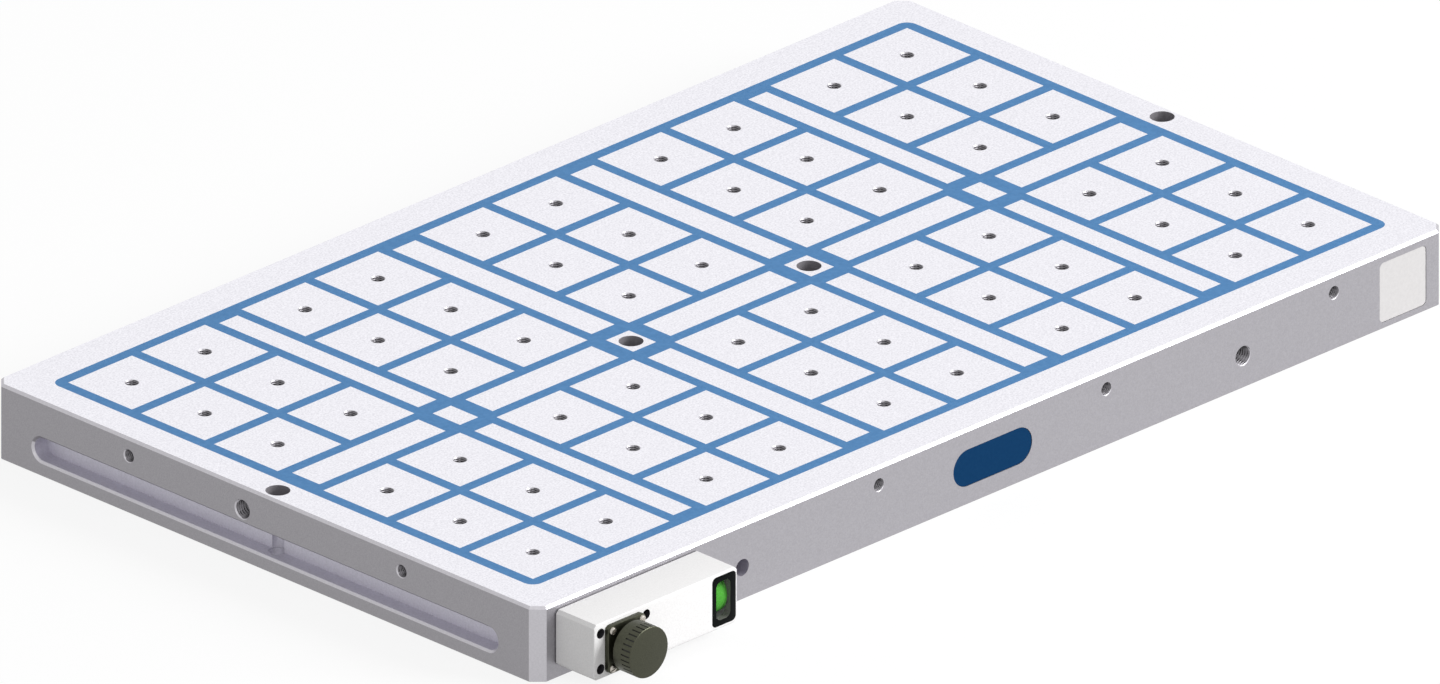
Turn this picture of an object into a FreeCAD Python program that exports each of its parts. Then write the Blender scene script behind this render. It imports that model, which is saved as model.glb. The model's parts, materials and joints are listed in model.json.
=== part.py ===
import FreeCAD, Part
import math
import os

# Square-pole electro-permanent magnetic chuck for milling.
# A one-piece steel frame holds ten pockets of six poles. Under every pole shoe stands a
# reversible AlNiCo magnet inside its coil, and neodymium magnets stand on edge between
# the shoes. Resin closes the grooves. A junction housing on the long side carries the
# connector with its dust cap and a window with the state indicator drum.
#
# Millimetres. +X runs along the length, +Z up. The origin is the centre of the underside.

V = FreeCAD.Vector

# ---- pole field ----
POLE = 50.0                # side of a square pole shoe
GROOVE = 7.2               # width of the resin groove round every pole
POLES_X = 2                # poles in one pocket along X
POLES_Y = 3                # poles in one pocket along Y
RIBS = [14.3, 18.0, 18.0, 14.3]   # widths of the cross ribs, from the -X end
SPINE = 21.4               # width of the lengthwise rib
ISLAND_SETBACK = 4.1       # how far a rib's top ends short of the pole row beside it

# ---- frame ----
RIM_X = 20.7               # frame wall beyond the pockets at the short ends
RIM_Y = 24.5               # frame wall beyond the pockets at the long sides
HEIGHT = 46.0
FLOOR = 12.0               # steel left under the pockets
CORNER_CHAMFER = 7.0       # upright corners
TOP_CHAMFER = 1.5
FOOT_CHAMFER = 0.7
POCKET_CORNER_R = 7.0      # outer corners of the pole field

# ---- magnet stack in a pocket ----
ALNICO_H = 16.0
ALNICO_SIDE = 37.0
COIL_GAP = 0.4             # between an AlNiCo block and the winding round it
COIL_BLOCK_MARGIN = 4.5    # potted coil block beyond the poles, all round
RESIN_DEPTH = 4.0          # resin layer at the work face
SIDE_MAGNET_GAP = 0.1      # between a side magnet and the steel on either side

# ---- tapped and through holes ----
SMALL_SIDES = 8            # sides given to the small round shapes that repeat many times
HIDDEN_SIDES = 24          # sides given to the larger round shapes that others hide
POLE_TAP_R = 3.4           # M8 core
POLE_TAP_DEPTH = 14.0
BOLT_BORE_R = 4.75         # through bores for M8 holding-down screws
BOLT_HEAD_R = 7.0
BOLT_HEAD_DEPTH = 9.0
BOLT_END_OFFSET = 10.1     # end face to the end bores
SIDE_TAP_R = 3.4           # M8 core, for work stops
SIDE_TAP_DEPTH = 16.0
SIDE_TAP_TOP = 11.2        # below the work face, long side
END_TAP_TOP = 11.0         # below the work face, short ends
END_TAP_SPACING = 214.0
END_TAP_DEPTH = 14.0
LIFT_TAP_R = 5.1           # M12 core, for lifting eyes
LIFT_TAP_DEPTH = 18.0
LIFT_SIDE_SPACING = 393.0
LIFT_SIDE_Z = 19.7
LIFT_END_Y = 17.9
LIFT_END_Z = 31.7
LIFT_END_DEPTH = 16.0

# ---- clamping slots in the short ends ----
SLOT_W = 14.0
SLOT_DEPTH = 10.5
SLOT_Z = 16.1
SLOT_SIDE_MARGIN = 32.0    # long side to the end of the slot
SLOT_CHAMFER = 1.3

# ---- plates let into the long side ----
PLATE_GAP = 0.15           # round a plate in its recess
RECESS_DEPTH = 1.0
PLATE_T = 0.7
BADGE_L = 61.5
BADGE_H = 22.0
BADGE_Z = 22.5
LABEL_SIDE = 36.2
LABEL_R = 3.0
LABEL_END_OFFSET = 35.1    # +X end to the label's centre
LABEL_Z = 22.2

# ---- junction housing ----
HOUSING_OFFSET = 13.7      # -X end of the frame to the housing
HOUSING_L = 112.4
HOUSING_Z = 25.1           # centre height
HOUSING_WALL = 3.0
HOUSING_FRONT = 4.4
HOUSING_CHAMFER = 2.0
SEAL_T = 0.8
SEAL_W = 2.2
SEAL_INSET = 0.5
SCREW_INSET_X = 5.1        # housing's -X face to the first pair of screws
SCREW_SPACING_X = 35.8
SCREW_INSET_Z = 6.1        # housing's top and bottom to the screws
SCREW_BOSS = 9.0
SCREW_FLOOR = 6.0          # housing left under a screw head
SCREW_HEAD_BORE_R = 3.0
SCREW_BORE_R = 1.65
SCREW_GAP = 0.1            # between a screw and its bore
SCREW_HEAD_H = 3.0
SCREW_BITE = 8.0           # thread in the frame

# ---- connector ----
CONNECTOR_X = 22.95        # housing's -X face to the connector's axis
FLANGE_SIDE = 29.0
FLANGE_R = 3.0
FLANGE_T = 3.0
BARREL_R = 11.1            # 7/8 in thread for plug and cap
BARREL_L = 13.0
BARREL_BORE_R = 9.2
BARREL_BORE_DEPTH = 11.0
INSERT_TAIL = 12.0         # insert behind the flange
INSERT_GAP = 0.1
PIN_R = 1.2
PIN_COUNT = 4
PIN_CIRCLE_R = 4.6
PIN_REACH = 7.0
FLANGE_SCREW_EDGE = 3.0    # flange's sides to the screws' centres
FLANGE_SCREW_R = 1.35
FLANGE_HEAD_R = 2.25
FLANGE_HEAD_H = 1.6
FLANGE_SCREW_BITE = 3.4

# ---- dust cap ----
CAP_R = 15.15
CAP_L = 13.3
CAP_FRONT = 3.0            # thickness of its front wall
CAP_THREAD_GAP = 0.08
CAP_SEAL_T = 1.0

# ---- indicator window and drum ----
BEZEL_W = 18.4
BEZEL_R = 3.0
BEZEL_EDGE = 1.2           # housing's +X face to the bezel
BEZEL_INSET_Z = 1.8        # housing's top and bottom to the bezel
BEZEL_GAP = 0.1
WINDOW_W = 11.0
WINDOW_INSET_Z = 3.45      # bezel's top and bottom to the window
WINDOW_R = 3.6
WINDOW_SHIFT = 0.6         # window off the bezel's middle, toward the connector
LENS_T = 1.2
LENS_SET = 0.3             # lens face behind the bezel's face
DRUM_R = 13.0              # sets the housing's height and reach as well
DRUM_ROOM = 1.0            # between the drum and the housing's walls above and below
DRUM_BACK = 2.3            # between the drum and the frame
DRUM_SIDE_GAP = 0.3        # drum to the window's sides, and to the cheeks
DRUM_SET = 2.2             # drum's nearest line behind the housing's face
AXLE_R = 1.5
AXLE_GAP = 0.05
CHEEK_T = 1.6
CHEEK_H = 12.0
FLAG_MAGNET = 4.0
FLAG_MAGNET_L = 8.0
FLAG_MAGNET_R = 7.0        # radius at which the drum carries its magnet

# ---- leads ----
LEAD_R = 3.0
LEAD_DUCT_R = 3.5
LEAD_DROP = 4.2            # below the connector's axis
LEAD_END = 2.0             # how far the leads reach into the pocket

# ---- derived places ----
BLOCK_X = POLES_X * POLE + (POLES_X - 1) * GROOVE
BLOCK_Y = POLES_Y * POLE + (POLES_Y - 1) * GROOVE
POCKET_X = BLOCK_X + 2 * GROOVE
POCKET_Y = BLOCK_Y + 2 * GROOVE
FIELD_X = (len(RIBS) + 1) * POCKET_X + sum(RIBS)
FIELD_Y = 2 * POCKET_Y + SPINE
LENGTH = FIELD_X + 2 * RIM_X
WIDTH = FIELD_Y + 2 * RIM_Y
POLE_H = HEIGHT - FLOOR - ALNICO_H
FRONT = -WIDTH / 2                         # the long side with the housing
HOUSING_X0 = -LENGTH / 2 + HOUSING_OFFSET
HOUSING_X1 = HOUSING_X0 + HOUSING_L
HOUSING_H = 2 * (DRUM_R + DRUM_ROOM + HOUSING_WALL)
HOUSING_REACH = DRUM_SET + 2 * DRUM_R + DRUM_BACK    # off the frame, seal included
HOUSING_FACE = FRONT - HOUSING_REACH
SCREW_SPACING_Z = HOUSING_H - 2 * SCREW_INSET_Z
CONN_X = HOUSING_X0 + CONNECTOR_X
FLANGE_FACE = HOUSING_FACE - FLANGE_T
BARREL_END = FLANGE_FACE - BARREL_L
BEZEL_X = HOUSING_X1 - BEZEL_EDGE - BEZEL_W / 2
WINDOW_X = BEZEL_X - WINDOW_SHIFT
BEZEL_H = HOUSING_H - 2 * BEZEL_INSET_Z
WINDOW_H = BEZEL_H - 2 * WINDOW_INSET_Z
DRUM_W = WINDOW_W - 2 * DRUM_SIDE_GAP
DRUM_Y = HOUSING_FACE + DRUM_SET + DRUM_R
LEAD_Z = HOUSING_Z - LEAD_DROP


def pocket_centres_x():
    """X of each pocket's centre, from the -X end."""
    centres = []
    edge = -FIELD_X / 2
    for rib in RIBS + [0.0]:
        centres.append(edge + POCKET_X / 2)
        edge = edge + POCKET_X + rib
    return centres


def rib_centres():
    """(X, width) of each cross rib."""
    ribs = []
    edge = -FIELD_X / 2
    for rib in RIBS:
        ribs.append((edge + POCKET_X + rib / 2, rib))
        edge = edge + POCKET_X + rib
    return ribs


def pocket_centres():
    rows = [-(SPINE + POCKET_Y) / 2, (SPINE + POCKET_Y) / 2]
    return [(x, y) for x in pocket_centres_x() for y in rows]


def poles_in_pocket(cx, cy):
    pitch = POLE + GROOVE
    columns = [cx + (i - (POLES_X - 1) / 2) * pitch for i in range(POLES_X)]
    rows = [cy + (j - (POLES_Y - 1) / 2) * pitch for j in range(POLES_Y)]
    return [(x, y) for x in columns for y in rows]


def pole_centres():
    places = []
    for cx, cy in pocket_centres():
        places.extend(poles_in_pocket(cx, cy))
    return places


def island_rects():
    """(X, Y, length along X, length along Y) of each rib top that shows in the resin."""
    rects = []
    rows = [-(SPINE + POCKET_Y) / 2, (SPINE + POCKET_Y) / 2]
    for x, rib in rib_centres():
        rects.append((x, 0.0, rib, SPINE))
        for y in rows:
            rects.append((x, y, rib, BLOCK_Y - 2 * ISLAND_SETBACK))
    for x in pocket_centres_x():
        rects.append((x, 0.0, BLOCK_X - 2 * ISLAND_SETBACK, SPINE))
    return rects


# ---- small helpers ----
def block(cx, cy, z0, dx, dy, dz):
    """A box centred on (cx, cy) that stands on z0."""
    return Part.makeBox(dx, dy, dz, V(cx - dx / 2, cy - dy / 2, z0))


def rect_wire(cx, cy, dx, dy, z):
    x0, x1 = cx - dx / 2, cx + dx / 2
    y0, y1 = cy - dy / 2, cy + dy / 2
    points = [V(x0, y0, z), V(x1, y0, z), V(x1, y1, z), V(x0, y1, z), V(x0, y0, z)]
    return Part.makePolygon(points)


def rounded_wire(dx, dz, r):
    """A rounded rectangle in the XZ plane, centred on the origin."""
    hx, hz = dx / 2, dz / 2
    k = r * (1 - math.sqrt(0.5))
    sides = []
    corners = [(1, 1), (-1, 1), (-1, -1), (1, -1)]
    ends = []
    for sx, sz in corners:
        on_side = V(sx * hx, 0, sz * (hz - r))
        on_top = V(sx * (hx - r), 0, sz * hz)
        middle = V(sx * (hx - k), 0, sz * (hz - k))
        first, last = (on_side, on_top) if sx * sz > 0 else (on_top, on_side)
        sides.append(Part.Arc(first, middle, last).toShape())
        ends.append((first, last))
    for i in range(4):
        start = ends[i][1]
        stop = ends[(i + 1) % 4][0]
        if start.distanceToPoint(stop) > 1e-6:
            sides.append(Part.makeLine(start, stop))
    return Part.Wire(Part.__sortEdges__(sides))


def rounded_prism(cx, cz, dx, dz, r, y_face, y_back):
    """A rounded rectangle seen along Y, from y_face back to y_back."""
    face = Part.Face(rounded_wire(dx, dz, r))
    face.translate(V(cx, y_face, cz))
    return face.extrude(V(0, y_back - y_face, 0))


def rod_y(cx, cz, r, y0, y1):
    """A cylinder along Y from y0 to y1."""
    return Part.makeCylinder(r, abs(y1 - y0), V(cx, min(y0, y1), cz), V(0, 1, 0))


def rod_x(cy, cz, r, x0, x1):
    return Part.makeCylinder(r, abs(x1 - x0), V(min(x0, x1), cy, cz), V(1, 0, 0))


def rod_z(cx, cy, r, z0, z1):
    return Part.makeCylinder(r, z1 - z0, V(cx, cy, z0))


def flat_ring(r, bore, sides):
    """Corner points of a round shape in few sides: round a bore's circle, else within it."""
    reach = r / math.cos(math.pi / sides) if bore else r
    turns = [2 * math.pi * (k + 0.5) / sides for k in range(sides + 1)]
    return [(reach * math.cos(t), reach * math.sin(t)) for t in turns]


def flat_rod_x(cy, cz, r, x0, x1, bore=False, sides=SMALL_SIDES):
    points = [V(x0, cy + y, cz + z) for y, z in flat_ring(r, bore, sides)]
    return Part.Face(Part.makePolygon(points)).extrude(V(x1 - x0, 0, 0))


def flat_rod_y(cx, cz, r, y0, y1, bore=False, sides=SMALL_SIDES):
    points = [V(cx + x, y0, cz + z) for x, z in flat_ring(r, bore, sides)]
    return Part.Face(Part.makePolygon(points)).extrude(V(0, y1 - y0, 0))


def flat_rod_z(cx, cy, r, z0, z1, bore=False, sides=SMALL_SIDES):
    points = [V(cx + x, cy + y, z0) for x, y in flat_ring(r, bore, sides)]
    return Part.Face(Part.makePolygon(points)).extrude(V(0, 0, z1 - z0))


def cut_all(body, tools):
    return body.cut(Part.makeCompound(tools)).removeSplitter()


def save(name, shapes):
    solids = []
    for shape in shapes:
        solids.extend(shape.Solids)
    for solid in solids:
        assert solid.isValid() and solid.Volume > 0, name
    shape = solids[0] if len(solids) == 1 else Part.makeCompound(solids)
    shape.exportStep("parts/" + name + ".step")
    print(name, len(solids), "solids, volume", round(shape.Volume / 1000.0, 2), "cm3")


# ---- pole field ----
def field_outline(z):
    """The outer edge of the resin, with its rounded corners."""
    wire = rounded_wire(FIELD_X, FIELD_Y, POCKET_CORNER_R)
    wire.rotate(V(0, 0, 0), V(1, 0, 0), 90)
    wire.translate(V(0, 0, z))
    return wire


def resin_region(with_poles):
    """The resin layer: the field less the rib tops and, if asked, the poles."""
    z = HEIGHT - RESIN_DEPTH
    wires = [field_outline(z)]
    for x, y, dx, dy in island_rects():
        wires.append(rect_wire(x, y, dx, dy, z))
    if with_poles:
        for x, y in pole_centres():
            wires.append(rect_wire(x, y, POLE, POLE, z))
    face = Part.makeFace(wires, "Part::FaceMakerBullseye")
    return face.extrude(V(0, 0, RESIN_DEPTH))


def make_pole_shoe(x, y):
    shoe = block(x, y, FLOOR + ALNICO_H, POLE, POLE, POLE_H)
    tap = flat_rod_z(x, y, POLE_TAP_R, HEIGHT - POLE_TAP_DEPTH, HEIGHT, bore=True)
    return shoe.cut(tap)


def make_alnico(x, y):
    return block(x, y, FLOOR, ALNICO_SIDE, ALNICO_SIDE, ALNICO_H)


def make_coil_block(cx, cy):
    """The six coils of a pocket, potted in one block with a well for each AlNiCo block."""
    dx = BLOCK_X + 2 * COIL_BLOCK_MARGIN
    dy = BLOCK_Y + 2 * COIL_BLOCK_MARGIN
    well = ALNICO_SIDE + 2 * COIL_GAP
    wires = [rect_wire(cx, cy, dx, dy, FLOOR)]
    for x, y in poles_in_pocket(cx, cy):
        wires.append(rect_wire(x, y, well, well, FLOOR))
    face = Part.makeFace(wires, "Part::FaceMakerBullseye")
    return face.extrude(V(0, 0, ALNICO_H))


def make_side_magnets(cx, cy):
    """The magnets of one pocket: long ones along its walls and its middle, short ones between."""
    pitch = POLE + GROOVE
    thick = GROOVE - 2 * SIDE_MAGNET_GAP
    z = FLOOR + ALNICO_H
    height = HEIGHT - RESIN_DEPTH - z
    magnets = []
    for i in range(POLES_X + 1):
        x = cx + (i - POLES_X / 2) * pitch
        magnets.append(block(x, cy, z, thick, BLOCK_Y, height))
    for side in (-1, 1):
        y = cy + side * POLES_Y / 2 * pitch
        magnets.append(block(cx, y, z, BLOCK_X, thick, height))
    for i in range(POLES_X):
        x = cx + (i - (POLES_X - 1) / 2) * pitch
        for j in range(1, POLES_Y):
            y = cy + (j - POLES_Y / 2) * pitch
            magnets.append(block(x, y, z, POLE - 2 * SIDE_MAGNET_GAP, thick, height))
    return magnets


# ---- frame ----
def frame_blank():
    """The steel block with its corner, top and foot chamfers."""
    blank = block(0, 0, 0, LENGTH, WIDTH, HEIGHT)
    upright = [e for e in blank.Edges if abs(e.Vertexes[0].Z - e.Vertexes[1].Z) > 1]
    blank = blank.makeChamfer(CORNER_CHAMFER, upright)
    top = [e for e in blank.Edges if e.BoundBox.ZMin > HEIGHT - 0.01]
    blank = blank.makeChamfer(TOP_CHAMFER, top)
    foot = [e for e in blank.Edges if e.BoundBox.ZMax < 0.01]
    return blank.makeChamfer(FOOT_CHAMFER, foot)


def frame_pockets():
    """The ten pockets, up to the resin layer, with the field's rounded corners."""
    depth = HEIGHT - RESIN_DEPTH - FLOOR
    limit = Part.Face(field_outline(FLOOR)).extrude(V(0, 0, depth))
    tools = [block(x, y, FLOOR, POCKET_X, POCKET_Y, depth) for x, y in pocket_centres()]
    return [Part.makeCompound(tools).common(limit)]


def clamp_slot(side):
    """The round-ended slot in a short end, with its chamfered mouth; side is -1 or 1."""
    face_x = side * LENGTH / 2
    half = WIDTH / 2 - SLOT_SIDE_MARGIN - SLOT_W / 2
    r = SLOT_W / 2
    bed = block(face_x, 0, SLOT_Z - r, 2 * SLOT_DEPTH, 2 * half, SLOT_W)
    tools = [bed]
    for end in (-half, half):
        start = V(face_x - SLOT_DEPTH, end, SLOT_Z)
        tools.append(Part.makeCylinder(r, 2 * SLOT_DEPTH, start, V(1, 0, 0)))
    body = tools[0].fuse(tools[1:]).removeSplitter()
    mouth = slot_mouth(face_x, side, half, r)
    return body.fuse(mouth)


def slot_mouth(face_x, side, half, r):
    """The 45 degree chamfer of the slot's edge, as a short lofted cutter."""
    inner = obround_wire(half, r)
    outer = obround_wire(half, r + 2 * SLOT_CHAMFER)
    inner.translate(V(face_x - side * SLOT_CHAMFER, 0, SLOT_Z))
    outer.translate(V(face_x + side * SLOT_CHAMFER, 0, SLOT_Z))
    return Part.makeLoft([inner, outer], True, True)


def obround_wire(half, r):
    """A round-ended outline in the YZ plane; half is the half distance of its centres."""
    a, b = V(0, half, -r), V(0, half, r)
    c, d = V(0, -half, r), V(0, -half, -r)
    right = Part.Arc(a, V(0, half + r, 0), b).toShape()
    left = Part.Arc(c, V(0, -half - r, 0), d).toShape()
    return Part.Wire([right, Part.makeLine(b, c), left, Part.makeLine(d, a)])


def holding_down_places():
    end = LENGTH / 2 - BOLT_END_OFFSET
    inner = abs(rib_centres()[1][0])
    return [-end, -inner, inner, end]


def holding_down_tools():
    tools = []
    for x in holding_down_places():
        tools.append(rod_z(x, 0, BOLT_BORE_R, 0, HEIGHT))
        tools.append(rod_z(x, 0, BOLT_HEAD_R, HEIGHT - BOLT_HEAD_DEPTH, HEIGHT))
    return tools


def stop_tap_places():
    """X of the tapped holes for work stops in the long side, clear of the housing."""
    places = [k * LENGTH / 8 for k in (-3, -1, 1, 3)]
    return [x for x in places if x > HOUSING_X1 + SIDE_TAP_R]


def side_tap_tools():
    """Tapped holes for work stops and lifting eyes in the long side and the -X end."""
    tools = []
    z = HEIGHT - SIDE_TAP_TOP
    for x in stop_tap_places():
        tools.append(rod_y(x, z, SIDE_TAP_R, FRONT, FRONT + SIDE_TAP_DEPTH))
    for x in (-LIFT_SIDE_SPACING / 2, LIFT_SIDE_SPACING / 2):
        tools.append(rod_y(x, LIFT_SIDE_Z, LIFT_TAP_R, FRONT, FRONT + LIFT_TAP_DEPTH))
    end = -LENGTH / 2
    tools.append(rod_x(LIFT_END_Y, LIFT_END_Z, LIFT_TAP_R, end, end + LIFT_END_DEPTH))
    for y in (-END_TAP_SPACING / 2, END_TAP_SPACING / 2):
        tools.append(rod_x(y, HEIGHT - END_TAP_TOP, SIDE_TAP_R, end, end + END_TAP_DEPTH))
    return tools


def plate_recesses():
    label_x = LENGTH / 2 - LABEL_END_OFFSET
    gap = 2 * PLATE_GAP
    back = FRONT + RECESS_DEPTH
    badge = rounded_prism(0, BADGE_Z, BADGE_L + gap, BADGE_H + gap,
                          (BADGE_H + gap) / 2, FRONT, back)
    side = LABEL_SIDE + gap
    label = rounded_prism(label_x, LABEL_Z, side, side, LABEL_R + PLATE_GAP, FRONT, back)
    return [badge, label]


def housing_service_holes():
    """Behind the housing: its tapped holes and the duct for the leads."""
    tools = []
    for x, z in housing_screw_places():
        tools.append(flat_rod_y(x, z, SCREW_BORE_R, FRONT, FRONT + SCREW_BITE + 1, bore=True))
    tools.append(flat_rod_y(CONN_X, LEAD_Z, LEAD_DUCT_R, FRONT, FRONT + RIM_Y, bore=True))
    return tools


def make_base_frame():
    tools = [resin_region(False)]
    tools.extend(frame_pockets())
    tools.extend([clamp_slot(-1), clamp_slot(1)])
    tools.extend(holding_down_tools())
    tools.extend(side_tap_tools())
    tools.extend(plate_recesses())
    tools.extend(housing_service_holes())
    return cut_all(frame_blank(), tools)


def make_badge_plate():
    face = FRONT + RECESS_DEPTH - PLATE_T
    return rounded_prism(0, BADGE_Z, BADGE_L, BADGE_H, BADGE_H / 2, face, face + PLATE_T)


def make_label_plate():
    face = FRONT + RECESS_DEPTH - PLATE_T
    label_x = LENGTH / 2 - LABEL_END_OFFSET
    return rounded_prism(label_x, LABEL_Z, LABEL_SIDE, LABEL_SIDE, LABEL_R,
                         face, face + PLATE_T)


# ---- junction housing ----
def housing_screw_places():
    x0 = HOUSING_X0 + SCREW_INSET_X
    places = []
    for x in (x0, x0 + SCREW_SPACING_X):
        for z in (HOUSING_Z - SCREW_SPACING_Z / 2, HOUSING_Z + SCREW_SPACING_Z / 2):
            places.append((x, z))
    return places


def flange_screw_places():
    half = FLANGE_SIDE / 2 - FLANGE_SCREW_EDGE
    return [(CONN_X + sx * half, HOUSING_Z + sz * half) for sx in (-1, 1) for sz in (-1, 1)]


def make_junction_housing():
    depth = HOUSING_REACH - SEAL_T
    back = FRONT - SEAL_T
    z0 = HOUSING_Z - HOUSING_H / 2
    shell = Part.makeBox(HOUSING_L, depth, HOUSING_H, V(HOUSING_X0, HOUSING_FACE, z0))
    along_y = [e for e in shell.Edges if abs(e.Vertexes[0].Y - e.Vertexes[1].Y) > 1]
    shell = shell.makeChamfer(HOUSING_CHAMFER, along_y)
    wall = HOUSING_WALL
    cavity = Part.makeBox(HOUSING_L - 2 * wall, depth - HOUSING_FRONT, HOUSING_H - 2 * wall,
                          V(HOUSING_X0 + wall, HOUSING_FACE + HOUSING_FRONT, z0 + wall))
    bosses = []
    for x, z in housing_screw_places():
        bosses.append(Part.makeBox(SCREW_BOSS, depth - HOUSING_FRONT, SCREW_BOSS,
                                   V(x - SCREW_BOSS / 2, HOUSING_FACE + HOUSING_FRONT,
                                     z - SCREW_BOSS / 2)))
    cavity = cavity.cut(Part.makeCompound(bosses))
    tools = [cavity]
    for x, z in housing_screw_places():
        tools.append(flat_rod_y(x, z, SCREW_BORE_R, HOUSING_FACE, back, bore=True))
        tools.append(flat_rod_y(x, z, SCREW_HEAD_BORE_R, HOUSING_FACE, back - SCREW_FLOOR,
                                bore=True))
    tools.append(flat_rod_y(CONN_X, HOUSING_Z, BARREL_BORE_R, HOUSING_FACE,
                            HOUSING_FACE + HOUSING_FRONT, bore=True, sides=HIDDEN_SIDES))
    for x, z in flange_screw_places():
        tools.append(flat_rod_y(x, z, FLANGE_SCREW_R + SCREW_GAP, HOUSING_FACE,
                                HOUSING_FACE + FLANGE_SCREW_BITE, bore=True))
    gap = 2 * BEZEL_GAP
    tools.append(rounded_prism(BEZEL_X, HOUSING_Z, BEZEL_W + gap, BEZEL_H + gap,
                               BEZEL_R + BEZEL_GAP, HOUSING_FACE,
                               HOUSING_FACE + HOUSING_FRONT))
    return cut_all(shell, tools)


def make_housing_seal():
    """A flat seal that follows the housing's wall."""
    outer_l = HOUSING_L - 2 * SEAL_INSET
    outer_h = HOUSING_H - 2 * SEAL_INSET
    cx = (HOUSING_X0 + HOUSING_X1) / 2
    outer = Part.makeBox(outer_l, SEAL_T, outer_h,
                         V(cx - outer_l / 2, FRONT - SEAL_T, HOUSING_Z - outer_h / 2))
    along_y = [e for e in outer.Edges if abs(e.Vertexes[0].Y - e.Vertexes[1].Y) > SEAL_T / 2]
    outer = outer.makeChamfer(HOUSING_CHAMFER, along_y)
    hole_l = outer_l - 2 * SEAL_W
    hole_h = outer_h - 2 * SEAL_W
    hole = Part.makeBox(hole_l, SEAL_T, hole_h,
                        V(cx - hole_l / 2, FRONT - SEAL_T, HOUSING_Z - hole_h / 2))
    return outer.cut(hole)


def make_housing_screw(x, z):
    seat = FRONT - SEAL_T - SCREW_FLOOR
    head = flat_rod_y(x, z, SCREW_HEAD_BORE_R - SCREW_GAP, seat - SCREW_HEAD_H, seat)
    stem = flat_rod_y(x, z, SCREW_BORE_R - SCREW_GAP, seat, FRONT + SCREW_BITE)
    return head.fuse(stem)


# ---- connector ----
def make_connector_shell():
    """Flange and threaded barrel, bored through for the insert."""
    flange = rounded_prism(CONN_X, HOUSING_Z, FLANGE_SIDE, FLANGE_SIDE, FLANGE_R,
                           FLANGE_FACE, HOUSING_FACE)
    barrel = rod_y(CONN_X, HOUSING_Z, BARREL_R, BARREL_END, FLANGE_FACE)
    tools = [flat_rod_y(CONN_X, HOUSING_Z, BARREL_BORE_R, BARREL_END, HOUSING_FACE,
                        bore=True, sides=HIDDEN_SIDES)]
    for x, z in flange_screw_places():
        tools.append(flat_rod_y(x, z, FLANGE_SCREW_R + SCREW_GAP, FLANGE_FACE,
                                HOUSING_FACE, bore=True))
    return cut_all(flange.fuse(barrel), tools)


def pin_places():
    places = []
    for k in range(PIN_COUNT):
        angle = 2 * math.pi * (k + 0.5) / PIN_COUNT
        places.append((CONN_X + PIN_CIRCLE_R * math.sin(angle),
                       HOUSING_Z + PIN_CIRCLE_R * math.cos(angle)))
    return places


def insert_face():
    return BARREL_END + BARREL_BORE_DEPTH


def make_connector_insert():
    back = HOUSING_FACE + INSERT_TAIL
    return flat_rod_y(CONN_X, HOUSING_Z, BARREL_BORE_R - INSERT_GAP, insert_face(), back,
                      sides=HIDDEN_SIDES)


def make_contact_pin(x, z):
    return flat_rod_y(x, z, PIN_R, insert_face() - PIN_REACH, insert_face())


def make_flange_screw(x, z):
    head = flat_rod_y(x, z, FLANGE_HEAD_R, FLANGE_FACE - FLANGE_HEAD_H, FLANGE_FACE)
    stem = flat_rod_y(x, z, FLANGE_SCREW_R, FLANGE_FACE, HOUSING_FACE + FLANGE_SCREW_BITE)
    return head.fuse(stem)


# ---- dust cap ----
def cap_front():
    """Y of the cap's front face: its seal bears on the barrel's end."""
    return BARREL_END - CAP_SEAL_T - CAP_FRONT


def make_dust_cap():
    front = cap_front()
    body = rod_y(CONN_X, HOUSING_Z, CAP_R, front, front + CAP_L)
    return body.cut(flat_rod_y(CONN_X, HOUSING_Z, BARREL_R + CAP_THREAD_GAP,
                               front + CAP_FRONT, front + CAP_L, bore=True,
                               sides=HIDDEN_SIDES))


def make_cap_seal():
    return flat_rod_y(CONN_X, HOUSING_Z, BARREL_R, cap_front() + CAP_FRONT, BARREL_END,
                      sides=HIDDEN_SIDES)


# ---- indicator ----
def make_window_bezel():
    """The window frame with the two cheeks that carry the drum's axle."""
    back = HOUSING_FACE + HOUSING_FRONT
    body = rounded_prism(BEZEL_X, HOUSING_Z, BEZEL_W, BEZEL_H, BEZEL_R, HOUSING_FACE, back)
    window = rounded_prism(WINDOW_X, HOUSING_Z, WINDOW_W, WINDOW_H, WINDOW_R,
                           HOUSING_FACE, back)
    body = body.cut(window)
    reach = DRUM_Y + CHEEK_H / 2
    cheeks = []
    for side in (-1, 1):
        inner = DRUM_W / 2 + DRUM_SIDE_GAP
        cx = WINDOW_X + side * (inner + CHEEK_T / 2)
        cheeks.append(Part.makeBox(CHEEK_T, reach - back, CHEEK_H,
                                   V(cx - CHEEK_T / 2, back, HOUSING_Z - CHEEK_H / 2)))
    body = body.fuse(cheeks)
    half = DRUM_W / 2 + DRUM_SIDE_GAP + CHEEK_T
    notch_h = 2 * (AXLE_R + AXLE_GAP)
    notch_y = DRUM_Y - AXLE_R
    notch = Part.makeBox(2 * half, reach - notch_y, notch_h,
                         V(WINDOW_X - half, notch_y, HOUSING_Z - notch_h / 2))
    return body.cut(notch).removeSplitter()


def make_window_lens():
    gap = 2 * BEZEL_GAP
    face = HOUSING_FACE + LENS_SET
    return rounded_prism(WINDOW_X, HOUSING_Z, WINDOW_W - gap, WINDOW_H - gap,
                         WINDOW_R - BEZEL_GAP, face, face + LENS_T)


def make_indicator_magnet():
    """The magnet that turns the drum, let into its end on the side away from the window."""
    return Part.makeBox(FLAG_MAGNET_L, FLAG_MAGNET, FLAG_MAGNET,
                        V(WINDOW_X + DRUM_W / 2 - FLAG_MAGNET_L,
                          DRUM_Y + FLAG_MAGNET_R - FLAG_MAGNET / 2,
                          HOUSING_Z - FLAG_MAGNET / 2))


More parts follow.
